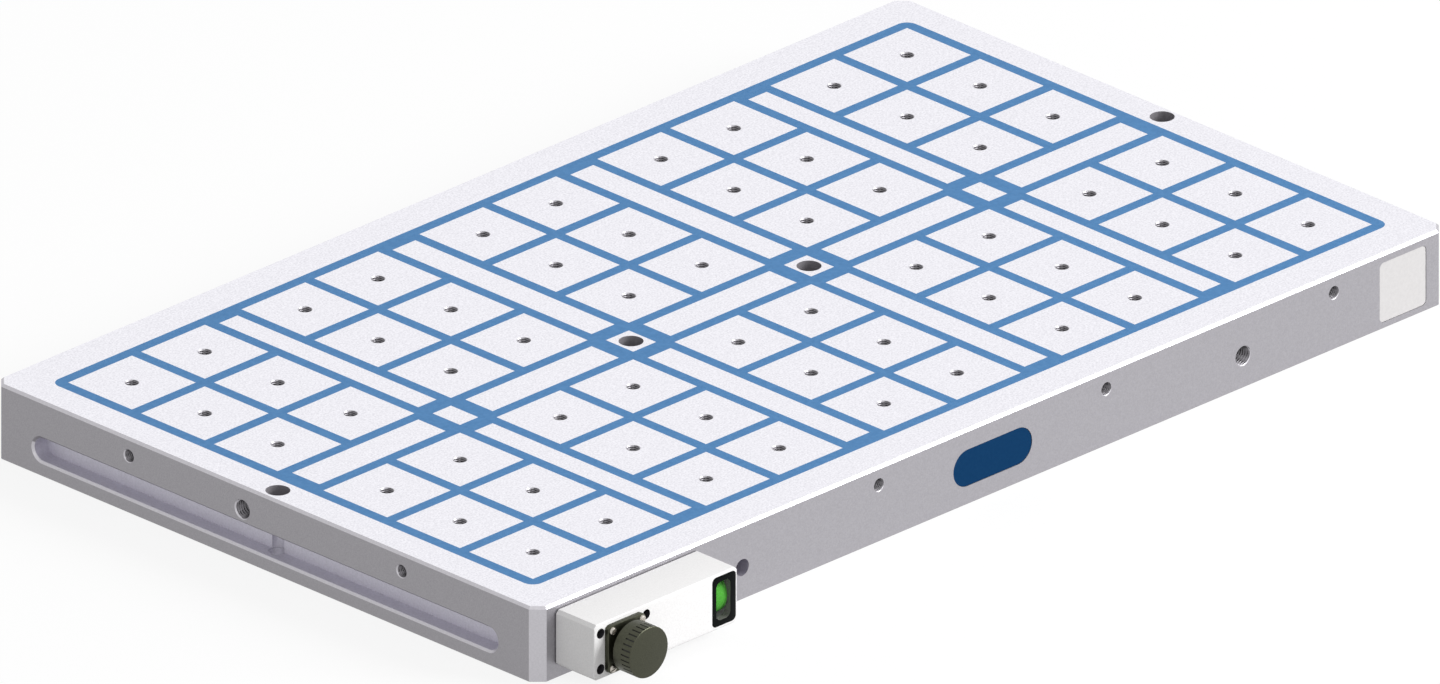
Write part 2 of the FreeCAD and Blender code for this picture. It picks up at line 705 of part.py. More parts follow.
def make_indicator_drum():
    half = DRUM_W / 2
    body = rod_x(DRUM_Y, HOUSING_Z, DRUM_R, WINDOW_X - half, WINDOW_X + half)
    bore = flat_rod_x(DRUM_Y, HOUSING_Z, AXLE_R + AXLE_GAP, WINDOW_X - half,
                      WINDOW_X + half, bore=True)
    return cut_all(body, [bore, make_indicator_magnet()])


def make_indicator_axle():
    half = DRUM_W / 2 + DRUM_SIDE_GAP + CHEEK_T
    return flat_rod_x(DRUM_Y, HOUSING_Z, AXLE_R, WINDOW_X - half, WINDOW_X + half)


def make_lead_bundle():
    """The sleeved coil leads, from the connector's tail through the duct to the pocket."""
    start = HOUSING_FACE + INSERT_TAIL
    return flat_rod_y(CONN_X, LEAD_Z, LEAD_R, start, FRONT + RIM_Y + LEAD_END)


def main():
    os.makedirs("parts", exist_ok=True)
    print("frame", LENGTH, WIDTH, HEIGHT)
    save("base_frame", [make_base_frame()])
    save("pole_shoes", [make_pole_shoe(x, y) for x, y in pole_centres()])
    save("alnico_magnets", [make_alnico(x, y) for x, y in pole_centres()])
    save("coil_blocks", [make_coil_block(x, y) for x, y in pocket_centres()])
    magnets = []
    for x, y in pocket_centres():
        magnets.extend(make_side_magnets(x, y))
    save("side_magnets", magnets)
    save("groove_resin", [resin_region(True)])
    save("badge_plate", [make_badge_plate()])
    save("label_plate", [make_label_plate()])
    save("junction_housing", [make_junction_housing()])
    save("housing_seal", [make_housing_seal()])
    save("housing_screws", [make_housing_screw(x, z) for x, z in housing_screw_places()])
    save("connector_shell", [make_connector_shell()])
    save("connector_insert", [make_connector_insert()])
    save("contact_pins", [make_contact_pin(x, z) for x, z in pin_places()])
    save("flange_screws", [make_flange_screw(x, z) for x, z in flange_screw_places()])
    save("dust_cap", [make_dust_cap()])
    save("cap_seal", [make_cap_seal()])
    save("window_bezel", [make_window_bezel()])
    save("window_lens", [make_window_lens()])
    save("indicator_drum", [make_indicator_drum()])
    save("indicator_axle", [make_indicator_axle()])
    save("indicator_magnet", [make_indicator_magnet()])
    save("lead_bundle", [make_lead_bundle()])


main()
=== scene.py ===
# %% [markdown]
# # A square-pole magnetic chuck
# A magnetic chuck is a steel plate that holds workpieces on a milling machine. Sixty square
# steel poles end in its ground top face, set in blue resin, and a pulse through the coils
# inside switches the magnets under them. The CAD model arrives as a fixed frame that is
# already in the right place, so this file only adds what a camera sees: round, threaded
# holes, soft edges, knurling and real finishes.

import bpy
import bmesh
import json
import math
from mathutils import Matrix, Vector


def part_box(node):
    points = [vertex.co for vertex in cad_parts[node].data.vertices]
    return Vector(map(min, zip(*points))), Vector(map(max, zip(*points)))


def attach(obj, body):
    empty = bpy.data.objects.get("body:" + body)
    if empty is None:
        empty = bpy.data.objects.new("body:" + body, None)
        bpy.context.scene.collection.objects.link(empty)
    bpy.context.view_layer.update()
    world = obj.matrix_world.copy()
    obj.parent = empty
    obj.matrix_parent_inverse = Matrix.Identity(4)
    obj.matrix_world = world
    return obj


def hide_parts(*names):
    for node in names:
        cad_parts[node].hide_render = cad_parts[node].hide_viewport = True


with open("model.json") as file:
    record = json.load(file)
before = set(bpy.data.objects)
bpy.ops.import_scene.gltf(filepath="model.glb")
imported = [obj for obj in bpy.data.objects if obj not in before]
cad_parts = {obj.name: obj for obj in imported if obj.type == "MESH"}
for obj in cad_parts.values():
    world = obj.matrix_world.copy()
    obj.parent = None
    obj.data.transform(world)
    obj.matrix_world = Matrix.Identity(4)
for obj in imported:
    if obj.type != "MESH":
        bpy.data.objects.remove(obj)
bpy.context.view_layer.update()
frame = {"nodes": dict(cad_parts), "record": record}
MM = 0.001

# %% [markdown]
# ## Camera
# Catalogue pictures of such plates are drawn without perspective, so that square poles stay
# the same size all over. An orthographic camera does that: its scale is the width of the
# picture in metres. It looks down at 25 degrees, from the corner between the long side with
# the junction box and the short end beside it. How far away it stands changes nothing.

# %% Camera
AZIMUTH = math.radians(-45)
ELEVATION = math.radians(25)
VIEW_WIDTH = 798.9
AIM_HEIGHT = 22.4
CAMERA_AWAY = 2000.0
toward_camera = Vector((math.sin(AZIMUTH) * math.cos(ELEVATION),
                        -math.cos(AZIMUTH) * math.cos(ELEVATION),
                        math.sin(ELEVATION)))
aim = Vector((0, 0, AIM_HEIGHT * MM))
camera_data = bpy.data.cameras.new("camera")
camera_data.type = "ORTHO"
camera_data.ortho_scale = VIEW_WIDTH * MM
camera = bpy.data.objects.new("camera", camera_data)
camera.location = aim + toward_camera * CAMERA_AWAY * MM
camera.rotation_euler = toward_camera.to_track_quat("Z", "Y").to_euler()
bpy.context.scene.collection.objects.link(camera)
bpy.context.scene.camera = camera
bpy.context.scene.view_settings.view_transform = "Standard"
print("camera at", [round(v, 3) for v in camera.location])

# %% [markdown]
# ## Colour and nodes
# Colours are picked as sRGB hex values, which is how screens and paint charts give them,
# while Blender's sockets want linear light. One function does the change. A second one adds
# any kind of shader node with its settings and links, which keeps the materials readable. A
# third gives the scale of a texture whose features have a real size.

# %% Helpers for materials
def linear(hex_colour):
    """An sRGB hex colour as linear red, green, blue and alpha."""
    channels = [int(hex_colour[i:i + 2], 16) / 255 for i in (1, 3, 5)]
    return tuple(c / 12.92 if c <= 0.04045 else ((c + 0.055) / 1.055) ** 2.4
                 for c in channels) + (1.0,)


def add_node(tree, kind, values=None, links=None, stops=None, **settings):
    """Adds one node, with its settings, fixed values, incoming links and colour stops."""
    node = tree.nodes.new(kind)
    for key, value in settings.items():
        setattr(node, key, value)
    for key, value in (values or {}).items():
        node.inputs[key].default_value = value
    for key, source in (links or {}).items():
        tree.links.new(source, node.inputs[key])
    for number, (place, colour) in enumerate(stops or []):
        while len(node.color_ramp.elements) <= number:
            node.color_ramp.elements.new(1.0)
        node.color_ramp.elements[number].position = place
        node.color_ramp.elements[number].color = linear(colour)
    return node


def per_size(size_mm):
    """Texture scale for features of that size, as object coordinates are in metres."""
    return 1.0 / (size_mm * MM)


print("mid grey #808080 is", round(linear("#808080")[0], 3), "in linear light")

# %% [markdown]
# ## A material to start from
# Nearly every finish here is a fine, even grain over one colour: ground steel, powder coat,
# cast resin. So one function makes a material with a two-tone grain in its colour and a
# shallow bump from the same grain. Grain sizes are real millimetres. Any other setting of the
# shader is given by its socket's name.

# %% Grained material
def grained(name, dark, light, grain_mm, metallic, roughness, bump_mm=0.0, **sockets):
    """A material whose colour and bump come from one fine grain."""
    material = bpy.data.materials.new(name)
    material.use_nodes = True
    tree = material.node_tree
    shader = tree.nodes["Principled BSDF"]
    shader.inputs["Metallic"].default_value = metallic
    shader.inputs["Roughness"].default_value = roughness
    for socket, value in sockets.items():
        shader.inputs[socket.replace("_", " ")].default_value = value
    place = add_node(tree, "ShaderNodeTexCoord").outputs["Object"]
    grain = add_node(tree, "ShaderNodeTexNoise",
                     {"Scale": per_size(grain_mm), "Detail": 3.0, "Roughness": 0.6},
                     {"Vector": place})
    tone = add_node(tree, "ShaderNodeValToRGB", links={"Fac": grain.outputs["Fac"]},
                    stops=[(0.32, dark), (0.68, light)])
    tree.links.new(tone.outputs["Color"], shader.inputs["Base Color"])
    if bump_mm:
        bump = add_node(tree, "ShaderNodeBump", {"Strength": 0.6, "Distance": bump_mm * MM},
                        {"Height": grain.outputs["Fac"]})
        tree.links.new(bump.outputs["Normal"], shader.inputs["Normal"])
    return material


# %% [markdown]
# ## Steel
# The top is finished on a surface grinder: bright, matt and covered with a fine speckle of
# grinding marks. The long sides and the ends are milled and look greyer, partly from that
# finish and partly from painted shade, which is stronger on the ends. Chamfers and lead-ins
# get a lighter tone that is a painted highlight. Bolt bores and threads get painted shade,
# the slot and the smooth hole painted light. All of it is steel, so all of it is metallic,
# and only tone and roughness differ.

# %% Steel finishes
ground_steel = grained("ground_steel", "#DEDDE3", "#F6F5FA", 1.1, 1.0, 0.5, 0.01)
# Long sides: a milled grey, partly the real finish and partly painted shade.
side_steel = grained("milled_side_steel_painted_shade", "#A2A0A5", "#AEACB1", 0.8, 1.0, 0.5, 0.01)
# Ends: the same steel with more painted shade, as they face away from the key lamp.
end_steel = grained("milled_end_steel_painted_shade", "#959397", "#A19FA3", 0.8, 1.0, 0.5, 0.01)
# The end slots: a lighter tone that is painted light in the recess.
slot_steel = grained("slot_steel_painted_light", "#C6C4CD", "#D1CFD8", 1.2, 1.0, 0.65)
# Chamfers and lead-ins: a lighter tone that is a painted highlight.
edge_steel = grained("chamfer_steel_painted_highlight", "#BAB8BD", "#C4C2C7", 1.0, 1.0, 0.45)
# Threads and the hidden pole sides: a dark tone that is painted shade.
thread_steel_painted_shade = grained("thread_steel_painted_shade", "#6C6A6E", "#7E7C80", 0.6, 1.0, 0.4)
# Bolt bores and the slot's downward chamfer: a darker tone that is painted shade.
bore_steel_painted_shade = grained("bore_steel_painted_shade", "#8A878C", "#9A979C", 0.9, 0.5, 0.5)
# The smooth lifting hole: a lighter tone that is painted light in the bore.
smooth_bore_steel_painted_light = grained("smooth_bore_steel_painted_light", "#B4B1BC", "#C2BFCA", 0.9, 0.7, 0.45)
print("steel finishes:", [m.name for m in bpy.data.materials if "steel" in m.name])

# %% [markdown]
# ## Resin, paint and plastics
# The grooves are filled with cast epoxy, tinted blue and ground flush with the steel: a
# dielectric with a slightly dusty surface. The junction box is powder coated, which leaves a
# faint orange peel. The name plate is bare navy enamel and the other plate is bare white
# film. The window frame is glossy black ABS; the walls of its opening are matt, and their
# grey tone is painted light. The seals are grey rubber whose light tone is painted light over
# the shade in their gaps. The insert and the sleeve on the leads are dark, dull rubber and
# braid.

# %% Non-metal finishes
blue_epoxy = grained("blue_epoxy", "#437AAE", "#4D84B8", 3.0, 0.0, 0.5,
                     Specular_IOR_Level=0.2)
powder_coat = grained("white_powder_coat", "#E4E3E3", "#EDECEC", 0.9, 0.0, 0.5, 0.02)
navy_enamel = grained("navy_enamel", "#0C345A", "#10385E", 2.0, 0.0, 0.4,
                      Specular_IOR_Level=0.02)
white_film = grained("white_film", "#C4C2C2", "#CAC8C8", 2.0, 0.0, 0.45)
black_abs = grained("black_abs", "#060909", "#0A0D0D", 1.5, 0.0, 0.25,
                    Specular_IOR_Level=0.05)
# Walls of the window opening: a grey tone that is painted light on black ABS.
window_wall = grained("window_wall_abs_painted_light", "#6E6C6A", "#767472", 1.5, 0.0, 0.6)
# Seals: a light grey that is painted light over the shade in their gaps.
nitrile = grained("grey_seal_rubber_painted_light", "#8E8E90", "#9A9A9C", 0.6, 0.0, 0.8)
neoprene = grained("neoprene", "#343434", "#3C3C3C", 0.6, 0.0, 0.7)
sleeve = grained("braided_sleeve", "#202020", "#303030", 0.8, 0.0, 0.8, 0.1)
potting = grained("amber_potting", "#6B3A1C", "#85512A", 3.0, 0.0, 0.4)
print("with the plastics,", len(bpy.data.materials), "finishes")

# %% [markdown]
# ## Small metal parts
# The connector and its cap are plated olive drab, which is duller than bare metal. The screws
# outside are zinc plated and the deep ones black. The magnets, pins and leads inside are never
# seen, but get their own plain finishes, so that the part is right when it is taken apart.

# %% Metal finishes of small parts
olive_plate = grained("olive_cadmium_plate", "#44453A", "#4E4F42", 0.7, 0.9, 0.4, 0.01)
zinc_screw = grained("zinc_plated_steel", "#B4AFA7", "#C4BFB7", 0.8, 1.0, 0.35)
black_oxide = grained("black_oxide_steel", "#151517", "#202023", 0.8, 1.0, 0.5)
gold_plate = grained("gold_plate", "#D9B25A", "#E6C474", 0.8, 1.0, 0.25)
cast_alnico = grained("cast_alnico", "#8A8785", "#9D9A97", 1.5, 1.0, 0.55, 0.05)
nickel_magnet = grained("nickel_plated_neodymium", "#BFBDB9", "#CCCAC6", 1.0, 1.0, 0.3)
ground_pin = grained("ground_pin_steel", "#B9B9BC", "#C8C8CB", 0.5, 1.0, 0.25)
print("with the small metal parts,", len(bpy.data.materials), "finishes")

# %% [markdown]
# ## Window and drum
# The window is clear polycarbonate, thin enough to be drawn as a mostly transparent surface.
# Behind it a moulded drum is green on one half and red on the other. The colour change is
# drawn from the drum's own coordinates, so it turns with the drum: green before its axis at
# rest, red behind it.

# %% Window and drum finishes
clear_lens = grained("clear_polycarbonate", "#101414", "#141818", 4.0, 0.0, 0.05,
                     Alpha=0.05, IOR=1.585)
drum_low, drum_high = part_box("indicator_drum")
drum_axis = (drum_low + drum_high) / 2
drum_plastic = grained("two_colour_drum", "#4EA938", "#57B340", 1.5, 0.0, 0.8,
                       Specular_IOR_Level=0.1)
tree = drum_plastic.node_tree
shader = tree.nodes["Principled BSDF"]
green = shader.inputs["Base Color"].links[0].from_socket
place = add_node(tree, "ShaderNodeTexCoord").outputs["Object"]
apart = add_node(tree, "ShaderNodeSeparateXYZ", links={"Vector": place})
behind = add_node(tree, "ShaderNodeMath", {1: drum_axis.y}, {0: apart.outputs["Y"]},
                  operation="GREATER_THAN")
halves = add_node(tree, "ShaderNodeMix", {7: linear("#B5231C")},
                  {"Factor": behind.outputs[0], 6: green}, data_type="RGBA")
tree.links.new(halves.outputs[2], shader.inputs["Base Color"])
print("drum axis in mm:", [round(v / MM, 1) for v in drum_axis])

# %% [markdown]
# ## Mesh tools
# Turned parts, plates with soft edges and threads are all the same thing: a stack of closed
# rings joined by quads. Shapes are drawn in millimetres about the origin, facing +Z, and then
# stood in place facing the way they face on the chuck. Holes are cut and bosses joined with
# the Boolean modifier, whose result is kept while both shapes are thrown away.

# %% Rings and lofts
def loft(rings):
    """A closed mesh through a stack of rings, with flat ends."""
    bm = bmesh.new()
    rows = [[bm.verts.new(point) for point in ring] for ring in rings]
    count = len(rows[0])
    for lower, upper in zip(rows, rows[1:]):
        for i in range(count):
            j = (i + 1) % count
            bm.faces.new((lower[i], lower[j], upper[j], upper[i]))
    bm.faces.new(rows[0])
    bm.faces.new(rows[-1])
    bmesh.ops.recalc_face_normals(bm, faces=bm.faces)
    return bm


def circle(radius, z, points=64):
    """A ring of points about the Z axis."""
    turns = [2 * math.pi * i / points for i in range(points)]
    return [(radius * math.cos(t), radius * math.sin(t), z) for t in turns]


def turned(profile, points=96):
    """A turned solid from (radius, height) pairs."""
    return loft([circle(max(r, 0.001), z, points) for r, z in profile])


def soft_corners(width, height, radius, z, steps=8):
    """A rectangle with round corners."""
    ring = []
    for quarter, (sx, sy) in enumerate(((1, 1), (-1, 1), (-1, -1), (1, -1))):
        for k in range(steps + 1):
            turn = math.pi / 2 * (quarter + k / steps)
            ring.append((sx * (width / 2 - radius) + radius * math.cos(turn),
                         sy * (height / 2 - radius) + radius * math.sin(turn), z))
    return ring


def cut_corners(width, height, cut, z):
    """A rectangle with 45 degree corners."""
    x, y = width / 2, height / 2
    return [(x, y - cut, z), (x - cut, y, z), (cut - x, y, z), (-x, y - cut, z),
            (-x, cut - y, z), (cut - x, -y, z), (x - cut, -y, z), (x, cut - y, z)]


def edge_round(edge, steps=3):
    """(inset, height) of each ring that rounds a front edge, from the face outwards."""
    turns = [math.pi / 2 * k / steps for k in range(steps + 1)]
    return [(edge * (1 - math.sin(t)), -edge * (1 - math.cos(t))) for t in turns]


def soft_plate(width, height, radius, depth, edge):
    """A plate that faces +Z at z = 0, with its front edge rounded by `edge`."""
    rings = [soft_corners(width - 2 * inset, height - 2 * inset, radius - inset, z)
             for inset, z in edge_round(edge)]
    rings.append(soft_corners(width, height, radius, -depth))
    return loft(rings)


def soft_void(width, height, radius, depth):
    """The empty shape of an opening with round corners, from just before z = 0."""
    return loft([soft_corners(width, height, radius, 1),
                 soft_corners(width, height, radius, -depth)])


def brick(low, high):
    """A block between two opposite corners."""
    (x0, y0, z0), (x1, y1, z1) = low, high
    return loft([[(x0, y0, z), (x1, y0, z), (x1, y1, z), (x0, y1, z)] for z in (z0, z1)])


# %% Threads
RINGS_PER_TURN = 6


def thread_rings(core, crest, pitch, top, bottom, points, mouth=0.0):
    """Rings of a right-hand thread, from top down to bottom; mouth is a 45 degree lead-in."""
    steps = round((top - bottom) / pitch * RINGS_PER_TURN)
    rings = []
    for k in range(steps + 1):
        z = top - (top - bottom) * k / steps
        ring = []
        for i in range(points):
            turn = i / points
            phase = (z / pitch - turn) % 1.0
            radius = max(core + (crest - core) * (1 - abs(2 * phase - 1)), mouth + z)
            angle = 2 * math.pi * turn
            ring.append((radius * math.cos(angle), radius * math.sin(angle), z))
        rings.append(ring)
    return rings


def tapped_void(core, crest, pitch, depth, mouth, thread, points):
    """The empty shape of a tapped hole whose mouth is at z = 0, down to the drill's cone."""
    rings = thread_rings(core, crest, pitch, 0.4, -thread, points, mouth)
    rings.append(circle(core, -thread - 0.3, points))
    rings.append(circle(core, -depth, points))
    rings.append(circle(0.05, -depth - 0.55 * core, points))
    return loft(rings)


# %% Placing and carving
def standing(spot, out=(0, -1, 0)):
    """Turns a shape that faces +Z so that it faces `out`, at `spot` in millimetres.

    By default it faces the way the junction box does.
    """
    z = Vector(out).normalized()
    y = Vector((0, 1, 0)) if abs(z.z) > 0.5 else Vector((0, 0, 1))
    x = y.cross(z)
    turn = Matrix((x, y, z)).transposed().to_4x4()
    return Matrix.Translation(Vector(spot)) @ turn


def placed(bm, spot, out=(0, -1, 0)):
    """The same mesh, stood at `spot` facing `out`."""
    bm.transform(standing(spot, out))
    return bm


def merged(shapes):
    """Several meshes in one; the parts are used up."""
    whole = bmesh.new()
    for shape in shapes:
        keep = bpy.data.meshes.new("part")
        shape.to_mesh(keep)
        shape.free()
        whole.from_mesh(keep)
        bpy.data.meshes.remove(keep)
    return whole


def copies(bm, places):
    """The mesh once in every place, which is a matrix; the mesh is used up."""
    one = bpy.data.meshes.new("one")
    bm.to_mesh(one)
    bm.free()
    whole = bmesh.new()
    for place in places:
        again = one.copy()
        again.transform(place)
        whole.from_mesh(again)
        bpy.data.meshes.remove(again)
    bpy.data.meshes.remove(one)
    return whole


def carve(body, tool, operation="DIFFERENCE"):
    """Boolean of two meshes; both are used up."""
    pair = []
    for bm in (body, tool):
        mesh = bpy.data.meshes.new("carve")
        bm.to_mesh(mesh)
        bm.free()
        pair.append(bpy.data.objects.new("carve", mesh))
        bpy.context.scene.collection.objects.link(pair[-1])
    modifier = pair[0].modifiers.new("carve", "BOOLEAN")
    modifier.object = pair[1]
    modifier.operation = operation
    modifier.solver = "MANIFOLD"
    graph = bpy.context.evaluated_depsgraph_get()
    made = bpy.data.meshes.new_from_object(pair[0].evaluated_get(graph))
    result = bmesh.new()
    result.from_mesh(made)
    for obj in pair:
        bpy.data.objects.remove(obj)
    return result


def piece(name, bm, materials, body, replaces=(), choose=None, smooth=30):
    """Makes the object in metres, gives it its materials and lets it ride on a CAD body."""
    mesh = bpy.data.meshes.new(name)
    if choose:
        bm.normal_update()
        for face in bm.faces:
            face.material_index = choose(face.calc_center_median(), face.normal)
    bm.transform(Matrix.Scale(MM, 4))
    bm.to_mesh(mesh)
    bm.free()
    for material in materials:
        mesh.materials.append(material)
    mesh.polygons.foreach_set("use_smooth", [True] * len(mesh.polygons))
    mesh.set_sharp_from_angle(angle=math.radians(smooth))
    obj = bpy.data.objects.new(name, mesh)
    bpy.context.scene.collection.objects.link(obj)
    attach(obj, body)
    if replaces:
        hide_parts(*replaces)
    print(name, len(mesh.polygons), "faces")


# %% [markdown]
# ## Frame with real tapped holes
# The steel frame is one block. Its CAD mesh already has the pockets, slots and chamfers, so
# the visual frame is a copy of it, with the plain bores turned into real tapped holes: a 45
# degree lead-in, a thread, and the drill's cone at the bottom. Where the holes are is read
# from the record's mounts. The bores for the outer bolts get a small lead-in where they open
# in a slot. Each face then gets a finish, told from where the face is and which way it
# looks: the ground top, the milled sides, and painted light and shade on the sides, ends,
# chamfers, holes and slots.

# %% Copy a CAD mesh
SAME_POINT = 0.0005


def cad_copy(node):
    """A CAD node's mesh in millimetres, with its split corners joined again."""
    mesh = frame["nodes"][node].data.copy()
    for attribute in [a for a in mesh.attributes if a.name == "custom_normal"]:
        mesh.attributes.remove(attribute)
    bm = bmesh.new()
    bm.from_mesh(mesh)
    bpy.data.meshes.remove(mesh)
    bm.transform(Matrix.Scale(1 / MM, 4))
    bmesh.ops.remove_doubles(bm, verts=bm.verts, dist=SAME_POINT)
    loose = sum(1 for edge in bm.edges if not edge.is_manifold)
    print(node, len(bm.faces), "CAD faces,", loose, "open edges")
    return bm


def mount_places(name):
    """(place in millimetres, direction) of each hole that a mount states."""
    mount = next(m for m in frame["record"]["mounts"] if m["name"] == name)
    spot = Vector(mount["pos_m"]) / MM
    out = Vector(mount["axis"])
    spacing = mount["dims"].get("spacing_x_mm", 0.0)
    row = Vector((0, 1, 0)) if abs(out.x) > 0.5 else Vector((1, 0, 0))
    signs = (-1, 1) if spacing else (0,)
    return [(spot + row * sign * spacing / 2, out) for sign in signs]


# %% Holes of the frame
M8 = {"core": 3.4, "crest": 4.0, "pitch": 1.25, "mouth": 4.1}
M12 = {"core": 5.1, "crest": 6.0, "pitch": 1.75, "mouth": 6.05}
TAP_DEPTH = 14
SIDE_THREAD = 9
SLOT_FLOOR = 9.1
OUTER_BOLTS = 300
taps = []
for name in ("stop_taps_long_side", "stop_tap_far", "stop_taps_end"):
    taps += [(spot, out, M8) for spot, out in mount_places(name)]
smooth_hole, threaded_hole = mount_places("lifting_taps_long_side")
taps.append((*threaded_hole, M12))
taps += [(spot, out, M12) for spot, out in mount_places("lifting_tap_end")]
bolt_bores = [spot for name in ("holding_down_outer", "holding_down_inner")
              for spot, out in mount_places(name)]
voids = [placed(tapped_void(**size, depth=TAP_DEPTH, thread=SIDE_THREAD, points=48), spot, out)
         for spot, out, size in taps]
for spot in bolt_bores:
    if abs(spot.x) > OUTER_BOLTS:
        mouth = turned([(5.4, 0.02), (5.38, 0.0), (4.7, -0.68)], 64)
        voids.append(placed(mouth, (spot.x, 0, SLOT_FLOOR), (0, 0, 1)))
print(len(taps), "tapped holes and", len(bolt_bores), "bolt bores")


# %% Finish of each face of the frame
TOP_FACE = 45.99
NEAR_BOLT = 7.2
NEAR_SMOOTH_HOLE = 5.3
TAP_REACH = 25
SLOT_CEILING = 23.1
SLOT_X = (346.4, 356.98)
SLOT_MIDDLE = 16.1
SLOT_HALF_HEIGHT = 8.4
SLOT_HALF_LENGTH = 183.5
frame_finishes = {"ground": ground_steel, "side": side_steel, "end": end_steel,
                  "slot": slot_steel, "painted_shade": bore_steel_painted_shade, "painted_light": smooth_bore_steel_painted_light,
                  "tapped": thread_steel_painted_shade, "edge": edge_steel}


def bore_cut(centre, normal):
    """The finish of a face in a hole, with its painted light or shade, or None where there is no
    hole.
    """
    for spot in bolt_bores:
        if math.hypot(centre.x - spot.x, centre.y) < NEAR_BOLT:
            # Below the slot's ceiling a bolt bore gets the slot's painted light, elsewhere
            # painted shade.
            in_slot = abs(spot.x) > OUTER_BOLTS and centre.z < SLOT_CEILING
            return "slot" if in_slot else "painted_shade"
    for spot, out, size in taps:
        offset = centre - spot
        depth = -offset.dot(out)
        aside = (offset + out * depth).length
        if 0.005 < depth < TAP_REACH and aside < size["mouth"] + 0.1:
            # The lead-in gets the chamfers' painted highlight, the thread painted shade.
            lead_in = depth < size["mouth"] - size["core"] and normal.dot(out) > 0.5
            return "edge" if lead_in else "tapped"
    # The smooth hole's wall gets painted light.
    offset = centre - smooth_hole[0]
    if offset.y > 0.005 and math.hypot(offset.x, offset.z) < NEAR_SMOOTH_HOLE:
        return "painted_light"
    return None


def in_end_slot(centre):
    """Whether the face is in the long slot of one of the ends."""
    return (SLOT_X[0] < abs(centre.x) < SLOT_X[1] and abs(centre.y) < SLOT_HALF_LENGTH
            and abs(centre.z - SLOT_MIDDLE) < SLOT_HALF_HEIGHT)


def frame_cut(centre, normal):
    """Which finish this face of the frame gets: the cut that left it, or painted light or shade.
    """
    if normal.z > 0.9 and centre.z > TOP_FACE:
        return "ground"
    hole = bore_cut(centre, normal)
    if hole:
        return hole
    # In the slot: painted light, a painted highlight on the chamfer that faces up, painted shade
    # on the one that faces down.
    if in_end_slot(centre):
        if 0.2 < abs(normal.x) < 0.9:
            return "edge" if normal.z > -0.3 else "painted_shade"
        return "slot"
    # Upright corner chamfers get the painted highlight.
    if abs(normal.x) > 0.3 and abs(normal.y) > 0.3:
        return "edge"
    # Top chamfers get painted light by the way they face: the bright ground tone on the long
    # sides, the painted highlight on the ends.
    if 0.3 < normal.z < 0.9:
        return "ground" if abs(normal.y) > abs(normal.x) else "edge"
    # The ends get more painted shade than the long sides.
    return "end" if abs(normal.x) > 0.7 else "side"


def frame_finish(centre, normal):
    """Index of this face's finish, from its cut or its painted light or shade."""
    return list(frame_finishes).index(frame_cut(centre, normal))


piece("machined_frame", carve(cad_copy("base_frame"), merged(voids)),
      list(frame_finishes.values()), "chuck", ["base_frame"], frame_finish)

# %% [markdown]
# ## Sixty poles
# A pole shoe is a square block of mild steel with a tapped hole for a pole extension. One is
# modelled with a real thread and copied to all sixty places, which are read from the solids
# of the CAD node. The top is ground together with the frame's, the lead-in of the thread
# gets a painted highlight, and the thread gets painted shade.

# %% Pole shoes
POLE_THREAD = 5
LEAD_IN_END = 45.3


def solids(node):
    """Lowest and highest corner, in millimetres, of every separate solid of a CAD node.

    They are sorted by place, so that each run numbers them alike.
    """
    bm = cad_copy(node)
    left = set(bm.verts)
    boxes = []
    while left:
        todo = [left.pop()]
        found = list(todo)
        while todo:
            for edge in todo.pop().link_edges:
                for vert in edge.verts:
                    if vert in left:
                        left.remove(vert)
                        todo.append(vert)
                        found.append(vert)
        boxes.append((Vector([min(v.co[a] for v in found) for a in range(3)]),
                      Vector([max(v.co[a] for v in found) for a in range(3)])))
    bm.free()
    return sorted(boxes, key=lambda box: [round(v, 2) for v in box[0]])


pole_boxes = solids("pole_shoes")
low, high = pole_boxes[0]
half = (high - low) / 2
pole = carve(brick((-half.x, -half.y, low.z - high.z), (half.x, half.y, 0)),
             tapped_void(**M8, depth=TAP_DEPTH, thread=POLE_THREAD, points=36))
tops = [((low.x + high.x) / 2, (low.y + high.y) / 2, high.z) for low, high in pole_boxes]


def pole_finish(centre, normal):
    """Ground top, painted highlight on the lead-in, painted shade on the thread and sides."""
    if normal.z > 0.99 and centre.z > TOP_FACE:
        return 0
    return 1 if normal.z > 0.5 and centre.z > LEAD_IN_END else 2


piece("ground_pole_shoes", copies(pole, [Matrix.Translation(top) for top in tops]),
      [ground_steel, edge_steel, thread_steel_painted_shade], "chuck", ["pole_shoes"], pole_finish)
print(len(pole_boxes), "poles")

# %% [markdown]
# ## Junction box
# The box on the long side is a milled aluminium housing, powder coated white. Its lengthwise
# edges have a 2 mm chamfer and the rim of its front is rounded. Two pairs of deep bores take
# the screws that hold it, each through a square boss inside. A round hole takes the connector
# and an opening with round corners the window's frame. It is one block that is hollowed out,
# because that is how it is made, and because its walls then keep their real thickness.

# %% Places on the box
low, high = (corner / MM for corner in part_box("junction_housing"))
box_size = high - low
box_middle = (low + high) / 2
face_y = low.y
screw_boxes = solids("housing_screws")
screw_places = [(a + b) / 2 for a, b in screw_boxes]
bezel_low, bezel_high = (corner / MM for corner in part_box("window_bezel"))
bezel_x = (bezel_low.x + bezel_high.x) / 2
flange_low, flange_high = (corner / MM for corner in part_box("connector_shell"))
plug_x = (flange_low.x + flange_high.x) / 2
axis_z = box_middle.z
print("box in mm:", [round(v, 1) for v in box_size], "with", len(screw_places), "screws")

